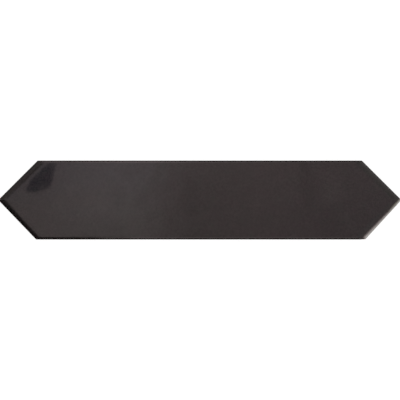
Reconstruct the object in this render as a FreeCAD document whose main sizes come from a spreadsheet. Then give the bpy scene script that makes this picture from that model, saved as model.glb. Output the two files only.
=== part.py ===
# Elongated hexagon wall tile: one pressed, glazed and fired ceramic slab.
# Lies flat, glazed face up, length along X, width along Y, back on z = 0.
# All sizes in millimetres, all taken from the spreadsheet "sizes".
import FreeCAD, Part
import Sketcher
import math
import os

V = FreeCAD.Vector
doc = FreeCAD.newDocument("hexagon_tile")

# ---------------------------------------------------------------- sizes
sheet = doc.addObject("Spreadsheet::Sheet", "sizes")
rows = [
    # word, value, what it is
    ("length", "332", "point to point, over the sharp points"),
    ("width", "65", "across the two long edges"),
    ("thickness", "9", "back to glazed face"),
    ("point_angle", "90", "angle of each pointed end, degrees"),
    ("roll_height", "1.7", "height over which the face edge rolls down"),
    ("roll_long", "1.5", "width of the roll along the two long edges"),
    ("roll_slant", "3.3", "width of the roll along the four slanted edges"),
    ("flare_right", "3.75", "outward shift of the lower right corner, at the back"),
    ("point_on", "0.45", "how far the right point runs on below the middle line, at the back"),
    ("wall_lean", "19.5", "how far the bare wall at the lower right leans in, degrees"),
    ("bulge_left", "1.3", "outward shift of the lower left corner"),
    ("edge_soft", "1", "radius of the wall corners, the glaze lip and the roll's six hips"),
    ("face_soft", "1.6", "radius where the roll runs out into the face"),
    ("back_arris", "0.5", "small bevel round the back"),
    ("rib_land", "6", "plain border of the back, at a right angle to the edge"),
    ("groove_wide", "6", "width of each keying groove of the back"),
    ("groove_pitch", "9.6", "distance between the keying grooves"),
    ("groove_deep", "0.8", "depth of the keying grooves"),
    ("groove_draft", "25", "slope of the groove walls, degrees"),
]
for i, (word, value, note) in enumerate(rows, 1):
    sheet.set("A%d" % i, word)
    sheet.set("B%d" % i, value)
    sheet.set("C%d" % i, note)
    sheet.setAlias("B%d" % i, word)
doc.recompute()

body = doc.addObject("PartDesign::Body", "tile_body")
body.Label = "hexagon_tile"


def plane(role):
    return next(f for f in body.Origin.OriginFeatures if f.Role == role)


def new_sketch(name, height=None):
    sk = body.newObject("Sketcher::SketchObject", name)
    sk.AttachmentSupport = [(plane("XY_Plane"), "")]
    sk.MapMode = "FlatFace"
    if height:
        sk.setExpression("AttachmentOffset.Base.z", height)
    return sk


def size(word):
    return float(sheet.get(word).Value if hasattr(sheet.get(word), "Value") else sheet.get(word))


def hexagon(sk, pts, exprs):
    # pts: six corners, counter-clockwise from the right point. exprs: for each
    # corner (expression for |x|, expression for |y|), None where it lies on the axis.
    n = len(pts)
    for i in range(n):
        p, q = pts[i], pts[(i + 1) % n]
        sk.addGeometry(Part.LineSegment(V(p[0], p[1], 0), V(q[0], q[1], 0)))
    for i in range(n):
        sk.addConstraint(Sketcher.Constraint("Coincident", i, 2, (i + 1) % n, 1))
    for i, (ex, ey) in enumerate(exprs):
        x, y = pts[i]
        c = sk.addConstraint(Sketcher.Constraint("DistanceX", -1, 1, i, 1, x))
        sk.setExpression("Constraints[%d]" % c, ex)
        if ey is None:
            sk.addConstraint(Sketcher.Constraint("PointOnObject", i, 1, -1))
        else:
            c = sk.addConstraint(Sketcher.Constraint("DistanceY", -1, 1, i, 1, y))
            sk.setExpression("Constraints[%d]" % c, ey)


# half of the point's run along X for half the width
RUN = "(sizes.width / 2 / tan(sizes.point_angle / 2 * 1 deg))"
HALF = "(sizes.length / 2)"
HW = "(sizes.width / 2)"
run = size("width") / 2 / math.tan(math.radians(size("point_angle") / 2))
half, hw = size("length") / 2, size("width") / 2
po = size("point_on")

# ---------------------------------------------------------------- outline of the back
# The right point lies where the two right-hand sides meet, a little below the middle line.
back = new_sketch("outline_back")
hexagon(back,
        [(half + run * po / hw, -po), (half - run, hw), (run - half, hw), (-half, 0),
         (run - half - size("bulge_left"), -hw), (half - run + size("flare_right"), -hw)],
        [("%s + %s * sizes.point_on / %s" % (HALF, RUN, HW), "-sizes.point_on"),
         ("%s - %s" % (HALF, RUN), HW),
         ("%s - %s" % (RUN, HALF), HW),
         ("-%s" % HALF, None),
         ("%s - %s - sizes.bulge_left" % (RUN, HALF), "-%s" % HW),
         ("%s - %s + sizes.flare_right" % (HALF, RUN), "-%s" % HW)])

# ---------------------------------------------------------------- outline at the glaze lip
# The wall at the lower right leans in by WALL_IN up to this height, so its side of the outline
# lies that much further in, and the right point sits a little off the middle line.
WALL_IN = "((sizes.thickness - sizes.roll_height) * tan(sizes.wall_lean * 1 deg))"
DX = "(%s * sizes.point_on / %s + %s - sizes.flare_right)" % (RUN, HW, RUN)
DY = "(%s - sizes.point_on)" % HW
SIDE = "sqrt(pow(%s; 2) + pow(%s; 2))" % (DX, DY)
SHARE = "(%s * %s / (%s * %s + %s * %s) - sizes.point_on / %s)" % (WALL_IN, SIDE, DX, HW, DY, RUN, HW)
wall_in = (size("thickness") - size("roll_height")) * math.tan(math.radians(size("wall_lean")))
dx, dy = run * po / hw + run - size("flare_right"), hw - po
side = math.hypot(dx, dy)
share = wall_in * side / (dx * hw + dy * run) - po / hw
lip_tip = (half - run * share, hw * share)
lip_low = half - (run - size("flare_right")) - wall_in * side / dy
TIP_X = "%s - %s * %s" % (HALF, RUN, SHARE)
TIP_Y = "%s * %s" % (HW, SHARE)
LOW_X = "%s - (%s - sizes.flare_right) - %s * %s / %s" % (HALF, RUN, WALL_IN, SIDE, DY)
lip = new_sketch("outline_lip", "sizes.thickness - sizes.roll_height")
hexagon(lip,
        [lip_tip, (half - run, hw), (run - half, hw), (-half, 0),
         (run - half - size("bulge_left"), -hw), (lip_low, -hw)],
        [(TIP_X, TIP_Y),
         ("%s - %s" % (HALF, RUN), HW),
         ("%s - %s" % (RUN, HALF), HW),
         ("-%s" % HALF, None),
         ("%s - %s - sizes.bulge_left" % (RUN, HALF), "-%s" % HW),
         (LOW_X, "-%s" % HW)])

# ---------------------------------------------------------------- flat of the face, inside the roll
face = new_sketch("outline_face", "sizes.thickness")
s = size("roll_slant") / math.sin(math.radians(size("point_angle") / 2))
t = size("roll_long") / math.tan(math.radians(size("point_angle") / 2))
S = "sizes.roll_slant / sin(sizes.point_angle / 2 * 1 deg)"
T = "sizes.roll_long / tan(sizes.point_angle / 2 * 1 deg)"
rl = size("roll_long")
cx = half - run - s + t
fall = half - run - lip_low
FALL = "(%s - %s - (%s))" % (HALF, RUN, LOW_X)
hexagon(face,
        [(lip_tip[0] - s, lip_tip[1]), (cx, hw - rl), (-cx, hw - rl), (s - half, 0),
         (-cx - size("bulge_left"), rl - hw), (cx - fall, rl - hw)],
        [("%s - %s" % (TIP_X, S), TIP_Y),
         ("%s - %s - %s + %s" % (HALF, RUN, S, T), "%s - sizes.roll_long" % HW),
         ("%s + %s - %s - %s" % (RUN, S, HALF, T), "%s - sizes.roll_long" % HW),
         ("%s - %s" % (S, HALF), None),
         ("%s + %s - %s - %s - sizes.bulge_left" % (RUN, S, HALF, T), "sizes.roll_long - %s" % HW),
         ("%s - %s - %s + %s - %s" % (HALF, RUN, S, T, FALL), "sizes.roll_long - %s" % HW)])
doc.recompute()

# ---------------------------------------------------------------- slab
slab = body.newObject("PartDesign::Pad", "slab")
slab.Profile = back
slab.setExpression("Length", "sizes.thickness - sizes.roll_height")
doc.recompute()

# the wall at the lower right leans in towards the face
leaning = ["Face%d" % i for i, f in enumerate(slab.Shape.Faces, 1)
           if f.CenterOfMass.x > half - run and f.CenterOfMass.y < -1]
lean = body.newObject("PartDesign::Draft", "lower_right_wall")
lean.Base = (slab, leaning)
lean.NeutralPlane = (plane("XY_Plane"), [""])
lean.setExpression("Angle", "sizes.wall_lean")
doc.recompute()
if lean.Shape.Volume > slab.Shape.Volume:
    lean.Reversed = True
    doc.recompute()
print("slab %.1f, with the leaning wall %.1f mm3, expected %.1f" %
      (slab.Shape.Volume, lean.Shape.Volume,
       slab.Shape.Volume - 0.5 * wall_in * (size("thickness") - size("roll_height")) * side))

crown = body.newObject("PartDesign::AdditiveLoft", "crown")
crown.Profile = lip
crown.Sections = [face]
crown.Ruled = True
doc.recompute()

# ---------------------------------------------------------------- edges
ZL = size("thickness") - size("roll_height")
ZT = size("thickness")


def ring(shape, z):
    # every edge that lies level at this height
    return ["Edge%d" % i for i, e in enumerate(shape.Edges, 1)
            if len(e.Vertexes) == 2 and all(abs(v.Z - z) < 1e-4 for v in e.Vertexes)]


def uprights(shape, top):
    # the six wall corners below the glaze lip
    out = []
    for i, e in enumerate(shape.Edges, 1):
        zs = sorted(v.Z for v in e.Vertexes)
        if len(zs) == 2 and abs(zs[1] - top) < 1e-3 and zs[0] < top / 2:
            out.append("Edge%d" % i)
    return out


def hips(shape):
    # the six edges that climb from the lip's corners to the face's corners
    out = []
    for i, e in enumerate(shape.Edges, 1):
        zs = sorted(v.Z for v in e.Vertexes)
        if len(zs) == 2 and abs(zs[1] - ZT) < 1e-3 and abs(zs[0] - ZL) < 1e-3:
            out.append("Edge%d" % i)
    return out


arris = body.newObject("PartDesign::Chamfer", "back_bevel")
arris.Base = (crown, ring(crown.Shape, 0))
arris.setExpression("Size", "sizes.back_arris")
doc.recompute()

corners = body.newObject("PartDesign::Fillet", "corners_and_lip")
picked = [uprights(arris.Shape, ZL), ring(arris.Shape, ZL), hips(arris.Shape)]
if [len(p) for p in picked] != [6, 6, 6]:
    raise RuntimeError("six of each kind of edge are rounded, not %s" % [len(p) for p in picked])
corners.Base = (arris, picked[0] + picked[1] + picked[2])
corners.setExpression("Radius", "sizes.edge_soft")
doc.recompute()

shoulder = body.newObject("PartDesign::Fillet", "face_shoulder")
shoulder.Base = (corners, ring(corners.Shape, ZT))
shoulder.setExpression("Radius", "sizes.face_soft")
doc.recompute()

# ---------------------------------------------------------------- keying grooves of the back
keys = new_sketch("key_grooves")
n = 0
for i in range(3):
    y1 = (i + 0.5) * size("groove_pitch") - size("groove_wide") / 2
    y2 = y1 + size("groove_wide")
    e1 = "%s * sizes.groove_pitch - sizes.groove_wide / 2" % (i + 0.5)
    e2 = "%s * sizes.groove_pitch + sizes.groove_wide / 2" % (i + 0.5)
    tan = "tan(sizes.point_angle / 2 * 1 deg)"
    sin = "sin(sizes.point_angle / 2 * 1 deg)"
    tn = math.tan(math.radians(size("point_angle") / 2))
    sn = math.sin(math.radians(size("point_angle") / 2))
    x1 = half - y1 / tn - size("rib_land") / sn
    x2 = half - y2 / tn - size("rib_land") / sn
    ex1 = "sizes.length / 2 - (%s) / %s - sizes.rib_land / %s" % (e1, tan, sin)
    ex2 = "sizes.length / 2 - (%s) / %s - sizes.rib_land / %s" % (e2, tan, sin)
    pts = [(x1, y1), (x2, y2), (-x2, y2), (-x1, y1)]
    exs = [(ex1, e1), (ex2, e2), ("-(%s)" % ex2, e2), ("-(%s)" % ex1, e1)]
    for k in range(4):
        p, q = pts[k], pts[(k + 1) % 4]
        keys.addGeometry(Part.LineSegment(V(p[0], p[1], 0), V(q[0], q[1], 0)))
    for k in range(4):
        keys.addConstraint(Sketcher.Constraint("Coincident", n + k, 2, n + (k + 1) % 4, 1))
    for k in range(4):
        c = keys.addConstraint(Sketcher.Constraint("DistanceX", -1, 1, n + k, 1, pts[k][0]))
        keys.setExpression("Constraints[%d]" % c, exs[k][0])
        c = keys.addConstraint(Sketcher.Constraint("DistanceY", -1, 1, n + k, 1, pts[k][1]))
        keys.setExpression("Constraints[%d]" % c, exs[k][1])
    n += 4
doc.recompute()

grooves = body.newObject("PartDesign::Pocket", "grooves")
grooves.Profile = keys
grooves.Reversed = True
grooves.setExpression("Length", "sizes.groove_deep")
grooves.setExpression("TaperAngle", "-sizes.groove_draft")
doc.recompute()

both = body.newObject("PartDesign::Mirrored", "grooves_mirrored")
both.Originals = [grooves]
both.MirrorPlane = (plane("XZ_Plane"), [""])
body.Tip = both
doc.recompute()

# ---------------------------------------------------------------- checks
before = shoulder.Shape.Volume
print("volume before the grooves %.1f, after %.1f mm3" % (before, both.Shape.Volume))
print("box", both.Shape.BoundBox)
area = 2 * sum(2 * (half - ((i + 0.5) * size("groove_pitch")) - size("rib_land") / sn) * size("groove_wide") for i in range(3))
print("grooves should take about %.1f mm3" % (area * size("groove_deep")))
if not (0.6 * area * size("groove_deep") < before - both.Shape.Volume < 1.05 * area * size("groove_deep")):
    raise RuntimeError("the grooves are cut the wrong way")
for o in doc.Objects:
    if "Invalid" in o.State or "Error" in o.State:
        raise RuntimeError("%s did not compute" % o.Name)
    if hasattr(o, "Shape") and o.TypeId.startswith("PartDesign::") and o.TypeId != "PartDesign::Plane":
        if o.Shape.isNull() or not o.Shape.isValid():
            raise RuntimeError("%s has no sound shape" % o.Name)
if len(body.Shape.Solids) != 1:
    raise RuntimeError("the tile is one piece")

os.makedirs("parts", exist_ok=True)
body.Shape.exportStep("parts/hexagon_tile.step")
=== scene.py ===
import math

import bpy
import numpy as np
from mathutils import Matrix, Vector, geometry


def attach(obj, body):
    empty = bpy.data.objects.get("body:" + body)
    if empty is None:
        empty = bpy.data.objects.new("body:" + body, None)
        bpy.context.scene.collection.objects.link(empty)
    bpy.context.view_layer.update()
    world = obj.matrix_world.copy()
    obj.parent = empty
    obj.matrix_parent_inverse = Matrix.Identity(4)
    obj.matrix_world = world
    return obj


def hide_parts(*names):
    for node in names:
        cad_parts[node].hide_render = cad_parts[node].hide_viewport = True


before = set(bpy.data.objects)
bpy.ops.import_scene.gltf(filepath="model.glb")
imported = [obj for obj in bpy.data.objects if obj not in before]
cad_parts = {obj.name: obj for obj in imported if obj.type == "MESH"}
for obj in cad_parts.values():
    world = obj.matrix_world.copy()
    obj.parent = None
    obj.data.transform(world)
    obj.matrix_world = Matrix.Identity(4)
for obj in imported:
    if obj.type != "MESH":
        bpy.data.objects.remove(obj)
bpy.context.view_layer.update()
scene = bpy.context.scene

# ------------------------------------------------------------------ sizes, mm (the same as in the part's source)
L, W, T = 332.0, 65.0, 9.0
HALF, HW = L / 2, W / 2
RUN = HW                      # right-angled points
LIP = 7.3                     # height where the wall turns into the roll
BULGE = 1.3                   # lower left corner sits this much further out
FLARE = 3.75                  # lower right corner sits this much further out at the back
POINT_ON = 0.45               # the right point runs on this far below the middle line at the back
LIP_TIP = (165.35, 0.80)      # right point at the lip: the bare wall at the lower right leans in to here
LIP_LOW = 132.8               # and its lower end to here


# ------------------------------------------------------------------ smooth noise, same on every run
def make_noise(seed):
    rs = np.random.RandomState(seed)
    perm = rs.permutation(512)
    ang = rs.rand(512) * 2 * np.pi
    gx, gy = np.cos(ang), np.sin(ang)

    def f(x, y):
        x, y = np.asarray(x, float), np.asarray(y, float)
        xi, yi = np.floor(x).astype(int), np.floor(y).astype(int)
        xf, yf = x - xi, y - yi

        def g(ix, iy, dx, dy):
            h = perm[(perm[ix & 511] + iy) & 511]
            return gx[h] * dx + gy[h] * dy

        u = xf ** 3 * (xf * (xf * 6 - 15) + 10)
        v = yf ** 3 * (yf * (yf * 6 - 15) + 10)
        a = g(xi, yi, xf, yf) * (1 - u) + g(xi + 1, yi, xf - 1, yf) * u
        b = g(xi, yi + 1, xf, yf - 1) * (1 - u) + g(xi + 1, yi + 1, xf - 1, yf - 1) * u
        return 1.4 * (a * (1 - v) + b * v)

    return f


n_long = make_noise(3)
n_mid = make_noise(11)
n_fine = make_noise(23)
n_edge = make_noise(37)
n_wall = make_noise(51)
n_back = make_noise(67)


# ------------------------------------------------------------------ outline
def corners(z):
    """Six corners of the outline at height z, from the right point, counter-clockwise."""
    w = min(1.0, max(0.0, z / LIP))
    tip_x, tip_y = HALF + POINT_ON, -POINT_ON
    low = HALF - RUN + FLARE
    return np.array([(tip_x + (LIP_TIP[0] - tip_x) * w, tip_y + (LIP_TIP[1] - tip_y) * w),
                     (HALF - RUN, HW), (RUN - HALF, HW), (-HALF, 0),
                     (RUN - HALF - BULGE, -HW), (low + (LIP_LOW - low) * w, -HW)], float)


# corner radii, from the right point: at the back, at the lip
R_BACK = np.array([1.02, 0.9, 0.9, 1.05, 0.9, 0.9])
R_LIP = np.array([0.30, 0.9, 0.9, 1.05, 0.9, 0.9])


SLANT = [True, False, True, True, False, True]     # side i runs from corner i to corner i + 1
N_LONG, N_SLANT, N_TURN = 190, 44, 6               # segments along a long side, a slanted side, round a corner


def outline(z, d, radii):
    """Points round the outline at height z, side i moved in by d[i], corner i rounded by radii[i].
    Starts in the middle of the right point. Returns points, outward directions, side numbers."""
    c = corners(z)
    n = 6
    lines = []
    for i in range(n):
        p, q = c[i], c[(i + 1) % n]
        t = (q - p) / np.linalg.norm(q - p)
        out = np.array([t[1], -t[0]])
        lines.append((p - out * d[i], t, out))
    cut = []
    for i in range(n):                              # corner i, between side i - 1 and side i
        p1, t1, _ = lines[i - 1]
        p2, t2, _ = lines[i]
        m = np.array([t1, -t2]).T
        s = np.linalg.solve(m, p2 - p1)
        cut.append(p1 + t1 * s[0])
    pts, outs, sides = [], [], []

    def turn(i, a, b):
        """Arc points at corner i, from share a to share b of the turn, first one included."""
        _, t1, o1 = lines[i - 1]
        _, t2, o2 = lines[i]
        ang = math.acos(max(-1, min(1, float(t1 @ t2))))
        r = radii[i]
        centre = cut[i] - t1 * r * math.tan(ang / 2) - o1 * r
        a0 = math.atan2(o1[1], o1[0])
        k = int(round(N_TURN * (b - a)))
        for j in range(k):
            w = a + (b - a) * j / k
            th = a0 + ang * w
            o = np.array([math.cos(th), math.sin(th)])
            pts.append(centre + o * r)
            outs.append(o)
            sides.append((i - 1) % n if w < 0.5 else i)

    def edge(i):
        _, t1, o1 = lines[i]
        j = (i + 1) % n
        a1 = math.acos(max(-1, min(1, float(lines[i - 1][1] @ t1))))
        a2 = math.acos(max(-1, min(1, float(t1 @ lines[j][1]))))
        r1, r2 = radii[i], radii[j]
        p = cut[i] + t1 * r1 * math.tan(a1 / 2)
        q = cut[j] - t1 * r2 * math.tan(a2 / 2)
        k = N_SLANT if SLANT[i] else N_LONG
        for s in range(k):
            pts.append(p + (q - p) * s / k)
            outs.append(o1)
            sides.append(i)

    turn(0, 0.5, 1.0)
    for i in range(n):
        edge(i)
        if i < n - 1:
            turn(i + 1, 0.0, 1.0)
    turn(0, 0.0, 0.5)
    return np.array(pts), np.array(outs), np.array(sides)


FLUSH = np.zeros(6)
base_pts, base_out, base_side = outline(LIP, FLUSH, R_LIP)
NP = len(base_pts)
step = np.linalg.norm(np.roll(base_pts, -1, 0) - base_pts, axis=1)
along = np.concatenate([[0], np.cumsum(step)[:-1]])          # distance round the outline, mm
ROUND = float(step.sum())


def ring_noise(f, wave, seed):
    """Noise round the outline that closes on itself."""
    k = max(1, round(ROUND / wave))
    th = along / ROUND * 2 * np.pi
    r = k / (2 * np.pi)
    return f(seed + r * np.cos(th), seed * 1.7 + r * np.sin(th))


# glaze line on the wall: it wanders, and hangs lower in a few runs
line_z = 6.35 + 0.38 * ring_noise(n_edge, 26, 5.3) + 0.16 * ring_noise(n_edge, 7, 19.1) \
    - 0.55 * np.clip(ring_noise(n_edge, 17, 41.7) - 0.25, 0, 1)
line_z = np.clip(line_z, 5.4, 6.6)

# ------------------------------------------------------------------ rings from the back up over the roll
verts, ring_start, ring_glaze, ring_thin_and_sheen, ring_lean_darkening = [], [], [], [], []


# on the leaning wall the body is coloured darker from the roll some way down, up to glaze black below the roll
on_lean = base_side == 5
lean_idx = np.where(on_lean)[0]
lean_t = np.zeros(NP)
lean_t[lean_idx] = np.linspace(0, 1, len(lean_idx))
lean_edge_wave = 0.5 * ring_noise(n_edge, 6, 88.2) + 0.35 * ring_noise(n_edge, 2.2, 57.9)
lean_wide = 2.85 - 1.66 * lean_t                                # width of the leaning wall as seen from above
bare_wide = np.interp(lean_t, [0, 0.15, 0.4, 0.65, 0.85, 0.94, 1], [1.18, 1.10, 0.68, 0.38, 0.46, 0.80, 1.36]) + 0.18 * lean_edge_wave
sharper = np.interp(lean_t, [0, 0.86, 1], [1.0, 1.0, 0.55])       # the glaze ends sharper at the right point


def lean_darkening(xy, z, inset):
    """0 where the body keeps its bare colour, 1 where it is coloured fully dark, and how far the glaze is at full
    depth.
    """
    reach = lean_wide * np.clip(z / LIP, 0, 1) + inset - bare_wide
    w = np.clip(reach / (2.25 * sharper), 0, 1)
    # fully dark also at the wall's end by the lower corner, above the wall's lowest part
    end = np.clip((-31.05 - xy[:, 1]) / 0.45, 0, 1) * np.clip((reach + bare_wide - 0.9) / 0.5, 0, 1)
    return np.where(on_lean, np.maximum(w, end), 0.0), np.clip((reach - 1.75 * sharper) / (0.8 * sharper), 0, 1)


def add_ring(xy, z, glaze, thin_and_sheen=0.0, inset=0.0):
    ring_start.append(len(verts))
    zz = np.broadcast_to(z, (NP,))
    for p, h in zip(xy, zz):
        verts.append((float(p[0]), float(p[1]), float(h)))
    w, full = lean_darkening(xy, zz, inset)
    ring_glaze.append(np.where(on_lean, np.minimum(glaze, full), glaze))
    ring_lean_darkening.append(w)
    ring_thin_and_sheen.append(np.broadcast_to(thin_and_sheen, (NP,)).copy())


wall_rough = 0.05 * ring_noise(n_wall, 5, 3.1) + 0.035 * ring_noise(n_wall, 1.9, 8.4)
RECESS = 0.16                                               # bare wall lies this far behind the glaze
recess = np.where(base_side == 5, 0.02, RECESS)             # on the leaning wall the two are nearly flush


def wall_ring(z, recess, glaze, push=0.0):
    """One ring of the wall at height z (a number, or one for each point)."""
    zz = np.broadcast_to(z, (NP,)).astype(float)
    lo, o, _ = outline(0.0, FLUSH, R_BACK)
    hi, _, _ = outline(LIP, FLUSH, R_LIP)
    w = np.clip(zz / LIP, 0, 1)[:, None]
    xy = lo * (1 - w) + hi * w
    xy = xy - o * (np.broadcast_to(recess, (NP,)) + push)[:, None]
    return xy, zz


# bevel round the back
for z, d in ((0.0, 0.50), (0.08, 0.30), (0.22, 0.13), (0.42, 0.03)):
    xy, zz = wall_ring(z, d + recess, 0.0, 0.03 * wall_rough)
    add_ring(xy, zz, 0.0)
# bare wall
body_levels = [0.75, 1.3, 2.0, 2.8, 3.6, 4.4, 5.0]
for i, z in enumerate(body_levels):
    drag = 0.03 * n_wall(along / 3.3, 0.55 * z + 31.0) + 0.02 * n_wall(along / 1.3, 1.2 * z + 71.0)
    xy, zz = wall_ring(z * (line_z - 0.45) / 5.6, recess + 0.02, 0.0, 0.5 * wall_rough * 0.6 + drag)
    add_ring(xy, zz, 0.0)
# end of the glaze: a low rounded bead
for dz, d, g in ((-0.34, 1.0, 0.0), (-0.16, 0.94, 0.0), (-0.06, 0.62, 0.35), (0.02, 0.28, 1.0),
                 (0.14, 0.08, 1.0), (0.34, 0.0, 1.0)):
    xy, zz = wall_ring(line_z + dz, recess * d + 0.01, g, 0.25 * wall_rough * (1 - g))
    add_ring(xy, zz, g)
N_WALL = len(ring_start)

# the roll: quarter of an ellipse, tight on the long sides, slack on the slanted ones
ROLL_Z = 1.8
ROLL = np.array([4.9, 1.75, 4.9, 4.9, 2.1, 4.9])            # width on each side: upper right, rear, upper left ...
FACE_Z = T - 0.06
turns = [0, 8, 16, 24, 32, 40, 48, 55, 62, 68, 74, 79, 84, 88, 92]
swell = ring_noise(n_edge, 34, 71.3)                        # the roll's width wanders a little
# and it widens towards the upper left corner, the left point and the left end of the front edge
share = np.zeros(NP)
for k in range(6):
    idx = np.where(base_side == k)[0] if k else np.where(base_side == 0)[0]
    share[idx] = (along[idx] - along[idx].min()) / max(1e-6, along[idx].max() - along[idx].min())
wider = np.zeros(NP)
wider = np.where(base_side == 0, 1.1, wider)
wider = np.where(base_side == 2, np.interp(share, [0, 0.17, 0.5, 0.83, 1], [1.4, 1.25, 0.95, 0.55, 0.3]), wider)
wider = np.where(base_side == 3, np.interp(share, [0, 0.17, 0.5, 0.83, 1], [1.5, 1.15, 0.25, 0.1, 0.1]), wider)
wider = np.where(base_side == 4, np.clip(1 - share / 0.17, 0, 1) * 0.6, wider)
kernel = np.exp(-np.linspace(-2, 2, 9) ** 2)
wider = np.convolve(np.concatenate([wider[-4:], wider, wider[:4]]), kernel / kernel.sum(), "valid")
for k, deg in enumerate(turns):
    th = math.radians(min(deg, 90))
    d = ROLL * (1 - math.cos(th))
    if deg > 90:
        d = ROLL + np.where(ROLL > 3, 0.9, 0.5)
    z = FACE_Z - ROLL_Z * (1 - math.sin(th))
    grow = np.array([0.25, 0.35, 0.35, 0.25, 0.35, 0.35]) * d[0]
    xy, o, _ = outline(z, d, R_LIP + grow)
    xy = xy - o * (0.09 * swell * math.sin(th) + wider * (1 - math.cos(th)))[:, None]
    # browner glaze part way round the roll, where it runs thinner; this is also a painted sheen
    thin_and_sheen = math.exp(-((deg - 52) / 20.0) ** 2)
    if deg == 0:
        start_z = np.maximum(line_z + 0.45, z)
        xy, zz = wall_ring(start_z, 0.0, 1.0)
        add_ring(xy, zz, 1.0, 0.0)
    else:
        # weaker on the lower left side: painted shade on that side's roll
        add_ring(xy, z, 1.0, np.where(base_side == 3, 0.4 * thin_and_sheen, thin_and_sheen), d[5])
N_RINGS = len(ring_start)
V = np.array(verts)


# ------------------------------------------------------------------ relief of the glazed face
def face_relief(x, y):
    """Small waves of the fired glaze, mm, never above 0.055."""
    a = 0.030 * n_long(x / 46.0 + 3.1, y / 38.0 + 1.7)
    b = 0.011 * n_mid(x / 13.0 + 7.7, y / 12.0 + 2.9)
    c = 0.0022 * n_fine(x / 4.1 + 1.3, y / 3.9 + 5.2)
    return np.minimum(a + b + c - 0.0, 0.055)


first_face = N_WALL
zt = V[ring_start[first_face]:, 2]
grow = np.clip((zt - (FACE_Z - 1.2)) / 1.2, 0, 1)
V[ring_start[first_face]:, 2] += face_relief(V[ring_start[first_face]:, 0], V[ring_start[first_face]:, 1]) * grow

# ------------------------------------------------------------------ fill of the face
inner = V[ring_start[-1]:ring_start[-1] + NP]


def inside(poly, pts, margin):
    """Points inside a convex polygon by at least margin."""
    ok = np.ones(len(pts), bool)
    c = poly.mean(0)
    for i in range(len(poly)):
        p, q = poly[i], poly[(i + 1) % len(poly)]
        t = (q - p) / np.linalg.norm(q - p)
        nrm = np.array([-t[1], t[0]])
        if nrm @ (c - p) < 0:
            nrm = -nrm
        ok &= ((pts - p) @ nrm) > margin
    return ok


hexa = corners(LIP)
GRID = 1.55
gx = np.arange(-HALF, HALF, GRID)
gy = np.arange(-HW, HW, GRID)
gxx, gyy = np.meshgrid(gx, gy, indexing="ij")
gxx[:, 1::2] += GRID * 0.5
cand = np.stack([gxx.ravel(), gyy.ravel()], 1)
keep = np.ones(len(cand), bool)
for i in range(6):
    p, q = hexa[i], hexa[(i + 1) % 6]
    t = (q - p) / np.linalg.norm(q - p)
    nrm = np.array([-t[1], t[0]])
    if nrm @ (-p) < 0:
        nrm = -nrm
    keep &= ((cand - p) @ nrm) > ROLL[i] + (3.4, 1.7, 3.6, 3.2, 2.4, 2.2)[i]
pts_in = cand[keep]
coords = [Vector((float(p[0]), float(p[1]))) for p in inner[:, :2]] + [Vector((float(p[0]), float(p[1]))) for p in pts_in]
res = geometry.delaunay_2d_cdt(coords, [], [list(range(NP))], 1, 1e-5)
cdt_v, _, cdt_f, orig, _, _ = res
top_map = {}
extra = []
base_index = len(V)
for i, o in enumerate(orig):
    if o and o[0] < NP:
        top_map[i] = ring_start[-1] + o[0]
    else:
        top_map[i] = base_index + len(extra)
        x, y = cdt_v[i]
        extra.append((x, y, FACE_Z + float(face_relief(x, y))))
top_faces = [tuple(top_map[j] for j in f) for f in cdt_f]
V = np.vstack([V, np.array(extra)])
n_top_extra = len(extra)

# ------------------------------------------------------------------ the back: border, six keying grooves
LAND, G_WIDE, G_PITCH, G_DEEP = 6.0, 6.0, 9.6, 0.8


def groove(i, sign, d):
    """Outline of keying groove i, moved in by d."""
    y1 = (i + 0.5) * G_PITCH - G_WIDE / 2 + d
    y2 = (i + 0.5) * G_PITCH + G_WIDE / 2 - d
    s = math.sqrt(2.0)
    x1 = HALF - y1 - (LAND + d) * s
    x2 = HALF - y2 - (LAND + d) * s
    poly = [(x1, y1), (x2, y2), (-x2, y2), (-x1, y1)]
    if sign < 0:
        poly = [(x, -y) for x, y in reversed(poly)]
    return poly


def soft_poly(poly, r, seg, arc=3):
    """Closed outline with small rounded corners, points about seg apart."""
    n = len(poly)
    out = []
    P = [np.array(p, float) for p in poly]
    for i in range(n):
        a, b, c = P[i - 1], P[i], P[(i + 1) % n]
        t1 = (b - a) / np.linalg.norm(b - a)
        t2 = (c - b) / np.linalg.norm(c - b)
        s = b - t1 * r
        e = b + t2 * r
        for k in range(arc + 1):
            w = k / arc
            out.append((1 - w) ** 2 * s + 2 * w * (1 - w) * b + w * w * e)
        nxt = P[(i + 1) % n] - t2 * r
        m = max(1, int(np.linalg.norm(nxt - e) / seg))
        for k in range(1, m):
            out.append(e + (nxt - e) * k / m)
    return out


levels = [(-0.18, 0.0), (-0.02, 0.03), (0.10, 0.16), (0.30, 0.62), (0.42, 0.76), (0.62, 0.80)]
bp = [tuple(p) for p in V[ring_start[0]:ring_start[0] + NP, :2]]
bz = [0.0] * NP
b_edges = [(i, (i + 1) % NP) for i in range(NP)]
for i in range(3):
    for sign in (1, -1):
        for d, h in levels:
            loop = soft_poly(groove(i, sign, d), 1.0 - 0.6 * max(0, d), 3.2)
            s0 = len(bp)
            bp += [tuple(p) for p in loop]
            bz += [h] * len(loop)
            b_edges += [(s0 + k, s0 + (k + 1) % len(loop)) for k in range(len(loop))]
# loose points between the loops, so that the pressed surface can undulate a little
gx = np.arange(-HALF, HALF, 3.2)
gy = np.arange(-HW, HW, 2.4)
gxx, gyy = np.meshgrid(gx, gy, indexing="ij")
gxx[:, 1::2] += 1.6
cand = np.stack([gxx.ravel(), gyy.ravel()], 1)
cand = cand[inside(hexa, cand, 1.9)]


def groove_depth(x, y):
    """0 on the border and ribs, else the groove floor, None close to a groove's wall."""
    for i in range(3):
        for sign in (1, -1):
            out = np.array(groove(i, sign, -0.7))
            inn = np.array(groove(i, sign, 1.2))
            p = np.array([[x, y]])
            if inside(inn, p, 0)[0]:
                return 0.8
            if inside(out, p, 0)[0]:
                return None
    return 0.0


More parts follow.
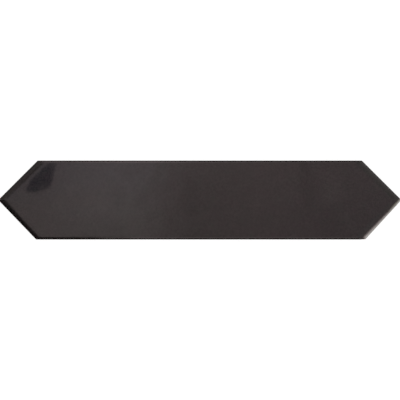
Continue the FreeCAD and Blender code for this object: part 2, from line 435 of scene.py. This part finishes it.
for x, y in cand:
    h = groove_depth(x, y)
    if h is not None:
        bp.append((float(x), float(y)))
        bz.append(h)
res = geometry.delaunay_2d_cdt([Vector(p) for p in bp], b_edges[NP:], [list(range(NP))], 1, 1e-5)
cdt_v, _, cdt_f, orig, _, _ = res
back_map, extra = {}, []
base_index = len(V)
for i, o in enumerate(orig):
    if o and o[0] < NP:
        back_map[i] = ring_start[0] + o[0]
    else:
        back_map[i] = base_index + len(extra)
        x, y = cdt_v[i]
        h = bz[o[0]] if o else 0.0
        if h > 0:
            h += 0.02 * float(n_back(x / 7.0, y / 5.0))
        else:
            h += 0.012 * (1 + float(n_back(x / 9.0 + 4, y / 7.0)))
        extra.append((x, y, max(0.0, h)))
back_faces = [tuple(back_map[j] for j in reversed(f)) for f in cdt_f]
V = np.vstack([V, np.array(extra)])

# ------------------------------------------------------------------ mesh
faces, kinds = [], []                    # kind: side number of the wall, 10 face, 20 back
SPLIT = N_WALL + 6                       # rings below this lie in the wall's part of the texture map
for r in range(N_RINGS - 1):
    a, b = ring_start[r], ring_start[r + 1]
    for i in range(NP):
        j = (i + 1) % NP
        faces.append((a + i, a + j, b + j, b + i))
        kinds.append((int(base_side[i]) if r + 1 < SPLIT else 10, r, i))
for f in top_faces:
    faces.append(f)
    kinds.append((10, -1, -1))
for f in back_faces:
    faces.append(f)
    kinds.append((20, -1, -1))

mesh = bpy.data.meshes.new("hexagon_tile_glazed")
mesh.from_pydata([tuple(v * 0.001) for v in V], [], faces)
mesh.update()
tile = bpy.data.objects.new("glazed_tile", mesh)
scene.collection.objects.link(tile)
for p in mesh.polygons:
    p.use_smooth = True

glaze = np.ones(len(V), np.float32)
thin_and_sheen = np.zeros(len(V), np.float32)
for r in range(N_RINGS):
    s = ring_start[r]
    glaze[s:s + NP] = ring_glaze[r]
    thin_and_sheen[s:s + NP] = ring_thin_and_sheen[r]
glaze[base_index:] = 0.0
lean_darkening_of = np.zeros(len(V), np.float32)
for r in range(N_RINGS):
    lean_darkening_of[ring_start[r]:ring_start[r] + NP] = ring_lean_darkening[r]
for name, data in (("glaze", glaze), ("thin_and_sheen", thin_and_sheen), ("lean_darkening", lean_darkening_of)):
    att = mesh.attributes.new(name, "FLOAT", "POINT")
    att.data.foreach_set("value", data)

# ------------------------------------------------------------------ texture map for the exported model
prof = np.zeros(N_RINGS)                 # height of each ring along the wall's section
mid = N_LONG // 2
for r in range(1, N_RINGS):
    a = V[ring_start[r - 1] + mid]
    b = V[ring_start[r] + mid]
    prof[r] = prof[r - 1] + np.linalg.norm(a - b)
wall_top = prof[SPLIT - 1]
side_first = {}
for i in range(NP):
    s = int(base_side[i])
    side_first.setdefault(s, []).append(i)
u_of = np.zeros(NP + 1)
for s in range(6):
    idx = [i for i in range(NP) if int(base_side[i]) == s]
    if s == 0:                            # side 0 holds the first points of the outline
        start = 0.0
    else:
        start = along[idx[0]]
    for i in idx:
        u_of[i] = along[i] - start
strip = {1: (0.005, 0), 4: (0.005, 1), 0: (0.005, 2), 2: (0.255, 2), 3: (0.505, 2), 5: (0.755, 2)}
uv = mesh.uv_layers.new(name="OFBake")
uvs = np.zeros((len(mesh.loops), 2), np.float32)
li = 0
for f, (kind, r, i) in zip(faces, kinds):
    if kind == 10:
        for v in f:
            uvs[li] = ((V[v][0] + HALF) / L * 0.99 + 0.005, (V[v][1] + HW) / W * 0.40 + 0.592)
            li += 1
    elif kind == 20:
        for v in f:
            uvs[li] = ((V[v][0] + HALF) / L * 0.99 + 0.005, (V[v][1] + HW) / W * 0.27 + 0.305)
            li += 1
    else:
        x0, row = strip[kind]
        j = (i + 1) % NP
        ua = u_of[i]
        ub = ua + step[i]
        for k, v in enumerate(f):
            u = ua if k in (0, 3) else ub
            h = prof[r] if k in (0, 1) else prof[r + 1]
            uvs[li] = (x0 + u * 0.99 / L * (1.0 if kind in (1, 4) else 1.6), 0.006 + row * 0.099 + h / wall_top * 0.09)
            li += 1
uv.data.foreach_set("uv", uvs.ravel())


# ------------------------------------------------------------------ material
def new_material(name):
    m = bpy.data.materials.new(name)
    m.use_nodes = True
    nt = m.node_tree
    nt.nodes.clear()
    return m, nt


class Nodes:
    def __init__(self, nt):
        self.nt = nt

    def add(self, kind, **inputs):
        n = self.nt.nodes.new(kind)
        for k, v in inputs.items():
            setattr(n, k, v)
        return n

    def put(self, node, socket, value):
        s = node.inputs[socket]
        if isinstance(value, bpy.types.NodeSocket):
            self.nt.links.new(value, s)
        else:
            s.default_value = value

    def math(self, op, a, b=None, c=None, clamp=False):
        n = self.add("ShaderNodeMath", operation=op, use_clamp=clamp)
        for i, v in enumerate((a, b, c)):
            if v is not None:
                self.put(n, i, v)
        return n.outputs[0]

    def mix(self, f, a, b):
        n = self.add("ShaderNodeMix", data_type="RGBA")
        self.put(n, 0, f)
        self.put(n, 6, a)
        self.put(n, 7, b)
        return n.outputs[2]

    def mixf(self, f, a, b):
        n = self.add("ShaderNodeMix", data_type="FLOAT")
        self.put(n, 0, f)
        self.put(n, 2, a)
        self.put(n, 3, b)
        return n.outputs[0]

    def ramp(self, v, lo, hi, a=0.0, b=1.0, smooth=True):
        n = self.add("ShaderNodeMapRange", interpolation_type="SMOOTHSTEP" if smooth else "LINEAR", clamp=True) \
            if smooth else self.add("ShaderNodeMapRange", clamp=True)
        self.put(n, 0, v)
        for i, x in enumerate((lo, hi, a, b), 1):
            self.put(n, i, x)
        return n.outputs[0]

    def noise(self, co, scale, detail=3.0, rough=0.5, distort=0.0):
        n = self.add("ShaderNodeTexNoise")
        self.put(n, "Vector", co)
        self.put(n, "Scale", scale)
        self.put(n, "Detail", detail)
        self.put(n, "Roughness", rough)
        self.put(n, "Distortion", distort)
        return n.outputs["Fac"]


mat, nt = new_material("black_gloss_glaze")
N = Nodes(nt)
co = N.add("ShaderNodeTexCoord").outputs["Object"]
g_att = N.add("ShaderNodeAttribute", attribute_name="glaze").outputs["Fac"]
t_att = N.add("ShaderNodeAttribute", attribute_name="thin_and_sheen").outputs["Fac"]
w_att = N.add("ShaderNodeAttribute", attribute_name="lean_darkening").outputs["Fac"]
edge_noise = N.noise(co, 900.0, 3.0, 0.6)
g_mask = N.ramp(N.math("ADD", g_att, N.math("MULTIPLY", N.math("SUBTRACT", edge_noise, 0.5), 0.7)), 0.42, 0.58)

# glaze: near black, drifting between brown and violet black, browner where the glaze runs thinner over the roll; that
# brown is also a painted sheen on the roll
stretch = N.add("ShaderNodeMapping")
N.put(stretch, "Vector", co)
stretch.inputs["Scale"].default_value = (0.45, 1.0, 1.0)
drift = N.ramp(N.noise(stretch.outputs[0], 34.0, 3.0, 0.55, 0.6), 0.35, 0.68)
cloud = N.ramp(N.noise(co, 120.0, 4.0, 0.6), 0.3, 0.75)
g1 = N.mix(drift, (0.0048, 0.0040, 0.0038, 1), (0.0035, 0.0036, 0.0041, 1))
moved = N.add("ShaderNodeMapping")
N.put(moved, "Vector", co)
moved.inputs["Location"].default_value = (0.31, 0.17, 0.0)
tone = N.ramp(N.noise(moved.outputs[0], 120.0, 3.0, 0.6), 0.40, 0.60)
speck = N.ramp(N.noise(moved.outputs[0], 330.0, 3.0, 0.7), 0.40, 0.60)
wide_tone = N.ramp(N.noise(moved.outputs[0], 52.0, 3.0, 0.6), 0.40, 0.60)
fleck = N.ramp(N.noise(moved.outputs[0], 760.0, 2.0, 0.7), 0.42, 0.58)
g1 = N.mix(0.70, g1, N.mix(tone, (0.0022, 0.0066, 0.0040, 1), (0.0082, 0.0020, 0.0046, 1)))
g1 = N.mix(0.42, g1, N.mix(wide_tone, (0.0018, 0.0066, 0.0042, 1), (0.0084, 0.0022, 0.0044, 1)))
g1 = N.mix(N.math("MULTIPLY", speck, 0.90), g1, (0.0004, 0.0003, 0.0003, 1))
g1 = N.mix(N.math("MULTIPLY", fleck, 0.80), g1, (0.0168, 0.0138, 0.0132, 1))
g2 = N.mix(N.math("MULTIPLY", cloud, 0.42), g1, (0.0038, 0.0032, 0.0030, 1))
break_noise = N.ramp(N.noise(co, 210.0, 3.0, 0.6), 0.3, 0.7, 0.35, 1.0)
thin_and_sheen_amt = N.math("MULTIPLY", N.math("MULTIPLY", t_att, break_noise), 0.30, clamp=True)
g3 = N.mix(thin_and_sheen_amt, g2, (0.022, 0.013, 0.010, 1))

# biscuit: grey beige, fine grains, a warm stain under the glaze line, coloured darker on the leaning wall towards the
# roll
grain = N.noise(co, 2600.0, 2.0, 0.7)
patch = N.noise(co, 160.0, 4.0, 0.6)
b1 = N.mix(N.ramp(patch, 0.3, 0.7), (0.330, 0.305, 0.285, 1), (0.415, 0.395, 0.375, 1))
b2 = N.mix(N.ramp(grain, 0.62, 0.74), b1, (0.19, 0.16, 0.135, 1))
b3 = N.mix(N.ramp(grain, 0.36, 0.26), b2, (0.52, 0.50, 0.48, 1))
halo = N.ramp(N.math("ADD", g_att, N.math("MULTIPLY", N.math("SUBTRACT", patch, 0.5), 0.6)), 0.02, 0.40)
b4 = N.mix(N.math("MULTIPLY", halo, 0.65), b3, (0.15, 0.105, 0.075, 1))
w_mask = N.math("ADD", w_att, N.math("MULTIPLY", N.math("MULTIPLY", N.math("SUBTRACT", patch, 0.5), 0.5),
                                     N.ramp(w_att, 0.0, 0.25)))
place = N.add("ShaderNodeSeparateXYZ")
N.put(place, 0, co)
near_point = N.ramp(place.outputs[1], -0.013, -0.004)            # the darkening is redder below, olive towards the point
half_lean_dark = N.mix(near_point, (0.172, 0.136, 0.130, 1), (0.158, 0.142, 0.112, 1))
full_lean_dark = N.mix(near_point, (0.029, 0.018, 0.018, 1), (0.022, 0.019, 0.014, 1))
b5 = N.mix(N.ramp(w_mask, 0.0, 0.55, smooth=False), b4, half_lean_dark)
b6 = N.mix(N.ramp(w_mask, 0.45, 1.0, smooth=False), b5, full_lean_dark)
colour = N.mix(g_mask, b6, g3)

rough_glaze = N.ramp(N.noise(co, 55.0, 3.0, 0.55), 0.3, 0.7, 0.065, 0.105)
rough_body = N.mixf(N.ramp(w_mask, 0.35, 1.0), N.ramp(grain, 0.3, 0.7, 0.78, 0.92), 0.42)
rough = N.mixf(g_mask, rough_body, rough_glaze)

peel = N.math("ADD", N.noise(co, 330.0, 2.0, 0.5), N.math("MULTIPLY", N.noise(co, 1150.0, 1.0, 0.5), 0.22))
grit = N.math("ADD", N.math("MULTIPLY", grain, 1.0), N.math("MULTIPLY", N.noise(co, 700.0, 4.0, 0.65), 1.6))
height = N.mixf(g_mask, N.math("MULTIPLY", grit, 0.00011), N.math("MULTIPLY", peel, 0.0000045))
bump = N.add("ShaderNodeBump")
N.put(bump, "Strength", 1.0)
N.put(bump, "Distance", 1.0)
N.put(bump, "Height", height)

bsdf = N.add("ShaderNodeBsdfPrincipled")
N.put(bsdf, "Base Color", colour)
N.put(bsdf, "Roughness", rough)
N.put(bsdf, "Normal", bump.outputs[0])
bsdf.inputs["IOR"].default_value = 1.5
bsdf.inputs["Specular IOR Level"].default_value = 0.5
out = N.add("ShaderNodeOutputMaterial")
nt.links.new(bsdf.outputs[0], out.inputs[0])
mesh.materials.append(mat)

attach(tile, "root")
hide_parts("hexagon_tile")

# ------------------------------------------------------------------ floor
fm = bpy.data.meshes.new("floor")
fm.from_pydata([(-12, -12, -0.00025), (12, -12, -0.00025), (12, 12, -0.00025), (-12, 12, -0.00025)], [], [(0, 1, 2, 3)])
floor = bpy.data.objects.new("floor", fm)
scene.collection.objects.link(floor)
m, t = new_material("pale_floor")
F = Nodes(t)
fb = F.add("ShaderNodeBsdfPrincipled")
fb.inputs["Base Color"].default_value = (0.52, 0.52, 0.52, 1)
fb.inputs["Roughness"].default_value = 1.0
fb.inputs["Specular IOR Level"].default_value = 0.0
fb.inputs["Emission Color"].default_value = (1, 1, 1, 1)
fb.inputs["Emission Strength"].default_value = 0.70
t.links.new(fb.outputs[0], F.add("ShaderNodeOutputMaterial").inputs[0])
fm.materials.append(m)
floor.visible_glossy = False

# ------------------------------------------------------------------ light
world = bpy.data.worlds.new("studio")
scene.world = world
world.use_nodes = True
wn = world.node_tree
wn.nodes.clear()
X = Nodes(wn)
path = X.add("ShaderNodeLightPath")
bgl = X.add("ShaderNodeBackground")
X.put(bgl, "Color", (1, 1, 1, 1))
X.put(bgl, "Strength", X.mixf(path.outputs["Is Camera Ray"], 0.8, 1.02))
wn.links.new(bgl.outputs[0], X.add("ShaderNodeOutputWorld").inputs[0])
world.cycles_visibility.glossy = False


def glossy_only(obj):
    """A light panel that only shows as a reflection."""
    obj.visible_camera = False
    obj.visible_diffuse = False
    obj.visible_transmission = False
    obj.visible_volume_scatter = False
    obj.visible_shadow = False


# soft surroundings: bright overhead and towards the left, dark at the lower left, half dark at the upper left
bpy.ops.mesh.primitive_uv_sphere_add(segments=64, ring_count=32, radius=6.0)
dome = bpy.context.object
dome.name = "surroundings"
m, t = new_material("surroundings")
D = Nodes(t)
oc = D.add("ShaderNodeTexCoord").outputs["Object"]
nrm = D.add("ShaderNodeVectorMath", operation="NORMALIZE")
t.links.new(oc, nrm.inputs[0])
sep = D.add("ShaderNodeSeparateXYZ")
t.links.new(nrm.outputs[0], sep.inputs[0])
dx, dy, dz = sep.outputs


def fade(name, v, lo, hi, stops):
    """Colour ramp over v from lo to hi."""
    r = D.add("ShaderNodeValToRGB")
    r.color_ramp.interpolation = "B_SPLINE"
    els = r.color_ramp.elements
    while len(els) < len(stops):
        els.new(0.5)
    for e, (pos, col) in zip(els, stops):
        e.position = (pos - lo) / (hi - lo)
        e.color = (col[0] / 2, col[1] / 2, col[2] / 2, 1)          # halved, for colours over 1
    D.put(r, 0, D.ramp(v, lo, hi, smooth=False))
    return r.outputs[0]


overhead = fade("overhead", dx, -0.11, 0.11, [
    (-0.11, (1.06, 0.89, 0.88)), (-0.082, (1.20, 1.01, 1.00)), (-0.066, (1.415, 1.205, 1.185)),
    (-0.043, (1.465, 1.30, 1.268)), (-0.026, (1.20, 1.02, 1.00)), (-0.006, (0.78, 0.625, 0.625)),
    (0.030, (0.99, 0.795, 0.795)), (0.062, (0.86, 0.685, 0.70)), (0.11, (0.82, 0.66, 0.685))])
rise = D.math("ADD", 2.0, D.math("MULTIPLY", D.ramp(dy, -0.020, 0.020, -1.0, 1.0, smooth=False),
                                 D.ramp(dx, -0.055, -0.015, 0.02, 0.22)))
rise = D.math("MULTIPLY", rise, D.ramp(dx, -0.085, -0.077, 0.93, 1.0))
# a shade weaker over the front edge, left of the middle
window = D.math("MULTIPLY", D.ramp(dx, -0.068, -0.050), D.ramp(dx, -0.014, -0.030))
rise = D.math("SUBTRACT", rise, D.math("MULTIPLY", D.math("MULTIPLY", window, D.ramp(dy, -0.0112, -0.0155)), 0.24))
window2 = D.math("MULTIPLY", D.ramp(dx, -0.081, -0.072), D.ramp(dx, -0.044, -0.052))
rise = D.math("SUBTRACT", rise, D.math("MULTIPLY", D.math("MULTIPLY", window2, D.ramp(dy, -0.0185, -0.0225)), 0.85))
window3 = D.math("MULTIPLY", D.ramp(dx, -0.024, -0.006), D.ramp(dx, 0.030, 0.012))
rise = D.math("SUBTRACT", rise, D.math("MULTIPLY", D.math("MULTIPLY", window3, D.ramp(dy, 0.014, 0.0)), 0.17))
window4 = D.math("MULTIPLY", D.ramp(dx, 0.056, 0.070), D.ramp(dx, 0.100, 0.084))
rise = D.math("SUBTRACT", rise, D.math("MULTIPLY", D.math("MULTIPLY", window4, D.ramp(dy, 0.004, -0.010)), 0.21))
rise = D.math("SUBTRACT", rise, D.math("MULTIPLY", D.math("MULTIPLY", D.ramp(dx, 0.050, 0.068), D.ramp(dy, 0.013, 0.025)), 0.20))
bluish = D.math("MULTIPLY", D.ramp(dx, -0.012, -0.034), D.ramp(dy, -0.006, 0.018))
window5 = D.math("MULTIPLY", D.ramp(dx, -0.092, -0.084), D.ramp(dx, -0.054, -0.066))
rise = D.math("SUBTRACT", rise, D.math("MULTIPLY", D.math("MULTIPLY", window5, D.ramp(dy, 0.012, 0.024)), 0.22))
level = D.math("MULTIPLY", D.add("ShaderNodeSeparateColor").outputs[0], 2.0)
t.links.new(overhead, level.node.inputs[0].links[0].from_node.inputs[0])
horiz = D.math("SQRT", D.math("MAXIMUM", D.math("SUBTRACT", 1.0, D.math("MULTIPLY", dz, dz)), 0.0001))
hx = D.math("DIVIDE", dx, horiz)
hy = D.math("DIVIDE", dy, horiz)


def towards(deg, lo, hi):
    """1 in the directions round this compass angle, fading to 0."""
    a = math.radians(deg)
    d = D.math("ADD", D.math("MULTIPLY", hx, math.cos(a)), D.math("MULTIPLY", hy, math.sin(a)))
    return D.ramp(d, lo, hi)


def lit(k):
    return D.math("MULTIPLY", level, k)


def shell(inner, outer, tint, z_out=(0.40, 0.66), even=False):
    """Light by height: inner below the overhead light, outer near the horizon."""
    v = D.add("ShaderNodeVectorMath", operation="SCALE")
    D.put(v, 0, tint)
    D.put(v, "Scale", D.mixf(D.ramp(dz, *z_out, smooth=not even), outer, inner))
    return v.outputs[0]


def curve(v, lo, hi, stops):
    """Straight lines through (v, factor) stops."""
    r = D.add("ShaderNodeValToRGB")
    r.color_ramp.interpolation = "LINEAR"
    els = r.color_ramp.elements
    while len(els) < len(stops):
        els.new(0.5)
    for e, (pos, k) in zip(els, stops):
        e.position = (pos - lo) / (hi - lo)
        e.color = (k / 2, k / 2, k / 2, 1)
    D.put(r, 0, D.ramp(v, lo, hi, smooth=False))
    grey = D.add("ShaderNodeSeparateColor")
    D.put(grey, 0, r.outputs[0])
    return D.math("MULTIPLY", grey.outputs[0], 2.0)


def over(mask, below, above):
    c = D.mix(mask, below, above)
    c.node.clamp_factor = False
    return c


upper_left = towards(145, 0.88, 0.96)
tip_low = D.ramp(D.math("SUBTRACT", dx, dy), -0.108, -0.120)                     # 1 at the left point, lower side
upper_run = D.math("ADD", dx, dy)                                                # along the upper left edge
tip_up = D.ramp(upper_run, -0.099, -0.110)                                       # 1 at the left point, upper side
upper_right = towards(45, 0.82, 0.95)
to_point_r = D.ramp(D.math("SUBTRACT", dx, dy), 0.096, 0.110, 0.88, 0.72)       # darker towards the right point
low_left = D.math("MULTIPLY", D.ramp(dx, -0.060, -0.042, 1.0, 0.0), D.ramp(dy, -0.030, -0.002, 1.0, 0.0))
rear_edge = curve(dx, -0.1, 0.1, [(-0.0903, 1.36), (-0.0833, 1.02), (-0.0727, 1.02), (-0.0685, 1.14), (-0.0645, 1.42), (-0.0563, 1.60),
                                  (-0.0457, 1.84), (-0.0351, 1.90), (-0.0234, 2.12), (-0.0140, 2.08), (-0.0069, 1.74),
                                  (-0.0011, 1.48), (0.0083, 1.45), (0.0236, 1.46), (0.0530, 1.37), (0.0859, 1.37)])
sky = shell(0.80, 0.52, (1.0, 0.93, 0.92))
sky = over(towards(90, 0.80, 0.93), sky, shell(lit(rear_edge), lit(D.ramp(dx, -0.045, 0.030, 0.34, 0.0)), (1.02, 0.85, 0.86)))
sky = over(upper_right, sky, shell(D.math("MULTIPLY", to_point_r, 0.82), D.math("MULTIPLY", to_point_r, D.ramp(dz, 0.55, 0.0, 1.27, 2.0)),
                                   (1.0, 0.95, 0.92), z_out=(0.58, 0.94), even=True))
sky = over(towards(315, 0.80, 0.93), sky, shell(0.74, 0.80, (1.0, 0.88, 0.90)))
dip = D.mixf(D.ramp(dz, 0.922, 0.948), 1.0, D.ramp(upper_run, -0.0905, -0.0855, 1.0, 0.52))       # a dark line
dip = D.math("MULTIPLY", dip, D.mixf(tip_up, 1.0, D.ramp(dz, 0.70, 0.86, 0.97, 0.76)))
cool = D.mix(D.ramp(upper_run, -0.096, -0.080), (1.0, 0.86, 0.81, 1), (0.985, 0.86, 0.905, 1))
sky = over(upper_left, sky, shell(D.math("MULTIPLY", dip, 0.525), 0.25, cool, z_out=(0.42, 0.60)))
sky = over(towards(270, 0.80, 0.93), sky, shell(lit(D.ramp(dx, -0.045, -0.010, 1.12, 1.20)), lit(0.04), (1.03, 0.86, 0.87)))
sky = over(low_left, sky, shell(0.14, 0.01, (1.0, 0.92, 0.97), z_out=(0.72, 0.94)))


def beside(deg, near, far, low, high):
    """1 on one side of this compass angle, below the overhead light, faded over near .. far (sines)."""
    a = math.radians(deg)
    v = D.math("SUBTRACT", D.math("MULTIPLY", hy, math.cos(a)), D.math("MULTIPLY", hx, math.sin(a)))
    m = D.math("MULTIPLY", D.ramp(v, near, far), D.ramp(v, -0.50, -0.38))
    return D.math("MULTIPLY", m, D.math("MULTIPLY", D.ramp(dz, high, high - 0.10), D.ramp(dz, low, low + 0.12)))


# broad soft steps low in the surroundings, so that the gloss shows from the sides too
sky = over(beside(135, 0.012, -0.095, 0.12, 0.60), sky, (0.86, 0.79, 0.78, 1))
sky = over(beside(315, 0.030, -0.090, 0.02, 0.50), sky, (0.34, 0.30, 0.305, 1))
zen = D.add("ShaderNodeVectorMath", operation="SCALE")
cooler = D.add("ShaderNodeVectorMath", operation="MULTIPLY")
D.put(cooler, 0, overhead)
D.put(cooler, 1, D.mix(bluish, (1.0, 1.0, 1.0, 1), (0.99, 1.005, 1.09, 1)))
D.put(zen, 0, cooler.outputs[0])
D.put(zen, "Scale", rise)
by_tip = D.math("ADD", D.ramp(dz, 0.865, 0.966, 0.0, 0.72), D.ramp(dz, 0.988, 0.9962, 0.0, 0.30))
by_side = D.mixf(D.ramp(upper_run, -0.082, -0.075), D.ramp(dz, 0.968, 0.9975, smooth=False), D.ramp(dz, 0.957, 0.991, smooth=False))
blend = D.mixf(upper_left, D.ramp(dz, 0.980, 0.9955), D.mixf(tip_up, by_side, by_tip))
blend = D.mixf(low_left, blend, D.mixf(tip_low, D.ramp(dz, 0.900, 0.9895), D.ramp(dz, 0.930, 0.9945)))
blend = D.mixf(upper_right, blend, D.ramp(dz, 0.958, 0.999))
col = over(blend, sky, zen.outputs[0])
em = D.add("ShaderNodeEmission")
D.put(em, "Color", col)
D.put(em, "Strength", D.ramp(dz, -0.06, 0.04))
t.links.new(em.outputs[0], D.add("ShaderNodeOutputMaterial").inputs[0])
dome.data.materials.append(m)
for p in dome.data.polygons:
    p.use_smooth = True
glossy_only(dome)

CAM_D = 0.32992 / 2 / (18.0 / 200.0)
CARD_H = 0.085
SPREAD = 1 + CARD_H / CAM_D                # from a point of the face to what it mirrors at the panels' height


def soft_panel(name, pts, scale, edge, ragged, cover, tint, strength):
    """Soft panel over the tile that only its glaze mirrors. Outline in mm, edges soft over this many mm."""
    pts = np.array(pts, float)
    lo, hi = pts.min(0) - edge - 1.5, pts.max(0) + edge + 1.5
    cx, cy = np.meshgrid(np.arange(lo[0], hi[0], 0.5), np.arange(lo[1], hi[1], 0.5), indexing="ij")
    gap = np.full(cx.shape, 1e9)
    within = np.zeros(cx.shape, bool)
    for a, b in zip(pts, np.roll(pts, -1, 0)):
        e = b - a
        u = np.clip(((cx - a[0]) * e[0] + (cy - a[1]) * e[1]) / (e @ e), 0, 1)
        gap = np.minimum(gap, np.hypot(cx - a[0] - u * e[0], cy - a[1] - u * e[1]))
        cross = (a[1] > cy) != (b[1] > cy)
        within ^= cross & (cx < a[0] + (cy - a[1]) / np.where(e[1] == 0, 1, e[1]) * e[0])
    gap = np.where(within, gap, -gap) + ragged * (n_mid(cx / 4.7, cy / 4.1) + 0.55 * n_fine(cx / 2.1, cy / 2.0))
    w = np.clip(gap / edge + 0.5, 0, 1)
    alpha = w * w * (3 - 2 * w) * cover(cx, cy)
    alpha = np.clip(alpha, 0, 1)
    alpha[0, :] = alpha[-1, :] = 0
    alpha[:, 0] = alpha[:, -1] = 0
    idx = np.arange(cx.size).reshape(cx.shape)
    quads = np.stack([idx[:-1, :-1], idx[1:, :-1], idx[1:, 1:], idx[:-1, 1:]], -1).reshape(-1, 4)
    cm = bpy.data.meshes.new(name)
    cm.from_pydata([(x * scale * 0.001, y * scale * 0.001, CARD_H) for x, y in zip(cx.ravel(), cy.ravel())], [],
                   [tuple(int(k) for k in q) for q in quads])
    att = cm.attributes.new("cover", "FLOAT", "POINT")
    att.data.foreach_set("value", alpha.ravel().astype(np.float32))
    card = bpy.data.objects.new(name, cm)
    scene.collection.objects.link(card)
    m, t = new_material(name)
    C = Nodes(t)
    em = C.add("ShaderNodeEmission")
    em.inputs["Color"].default_value = (*tint, 1)
    em.inputs["Strength"].default_value = strength
    see = C.add("ShaderNodeMixShader")
    C.put(see, 0, C.add("ShaderNodeAttribute", attribute_name="cover").outputs["Fac"])
    t.links.new(C.add("ShaderNodeBsdfTransparent").outputs[0], see.inputs[1])
    t.links.new(em.outputs[0], see.inputs[2])
    t.links.new(see.outputs[0], C.add("ShaderNodeOutputMaterial").inputs[0])
    cm.materials.append(m)
    glossy_only(card)


# its reflection lies in the upper left of the face, thinner towards the upper left corner
soft_panel("dark_panel",
           [(-117.0, 30.7), (-117.9, 27.2), (-119.3, 23.6), (-119.3, 20.2), (-120.5, 15.7), (-121.9, 11.4), (-126.2, 7.9),
            (-131.8, 6.8), (-138.6, 6.6), (-142.1, 6.9), (-142.2, 9.5), (-139.5, 15.0), (-135.5, 20.1),
            (-129.7, 25.1), (-123.2, 31.0)],
           SPREAD, 1.7, 0.5,
           lambda x, y: (0.93 + 0.10 * n_mid(x / 5.1 + 9.0, y / 4.4 + 2.0) - 0.08 * np.clip((y - 13) / 6, 0, 1)
                         - 0.30 * np.clip((14.5 - y) / 4, 0, 1) * np.clip((x + 133.5) / 5, 0, 1)
                         - 0.38 * np.clip((x + 123.0) / 1.5, 0, 1) * np.clip((y - 24.5) / 2, 0, 1)),
           (0.97, 0.87, 1.10), 0.32)

# faint unevenness of the reflection: two darker bands across the face, a paler cloud at the right
soft_panel("faint_band_right",
           [(82.5, 34.0), (90.5, 34.0), (91.5, 20.0), (95.0, 8.0), (94.0, -4.0), (87.0, -6.0), (82.0, 4.0), (80.5, 18.0)],
           SPREAD, 7.0, 1.0, lambda x, y: 0.105 + 0 * x, (1.0, 0.82, 0.82), 0.05)
soft_panel("faint_band_middle",
           [(-14.0, 20.0), (-1.0, 20.0), (1.0, 0.0), (-1.0, -15.0), (-12.0, -15.0), (-14.0, 0.0)],
           SPREAD, 8.0, 1.5, lambda x, y: 0.060 + 0 * x, (1.0, 0.82, 0.82), 0.05)
soft_panel("pale_cloud_right",
           [(97.5, 24.0), (110.0, 26.0), (116.0, 19.0), (118.0, 8.0), (115.0, -3.0), (106.0, -3.0), (100.0, 4.0), (97.0, 14.0)],
           SPREAD, 8.0, 1.5, lambda x, y: 0.055 + 0 * x, (1.0, 0.82, 0.82), 2.0)

# ------------------------------------------------------------------ camera: straight above the face
cam_data = bpy.data.cameras.new("camera")
cam = bpy.data.objects.new("camera", cam_data)
scene.collection.objects.link(cam)
cam_data.lens = 200.3
cam_data.sensor_width = 36.0
cam_data.clip_start = 0.05
cam_data.clip_end = 60.0
cam.location = (0.00018, 0.00003, 0.0073 + CAM_D)
cam.rotation_euler = (0, 0, 0)
scene.camera = cam

scene.view_settings.view_transform = "Standard"
scene.view_settings.look = "None"
scene.view_settings.exposure = 0.0
scene.view_settings.gamma = 1.0

bpy.context.view_layer.update()
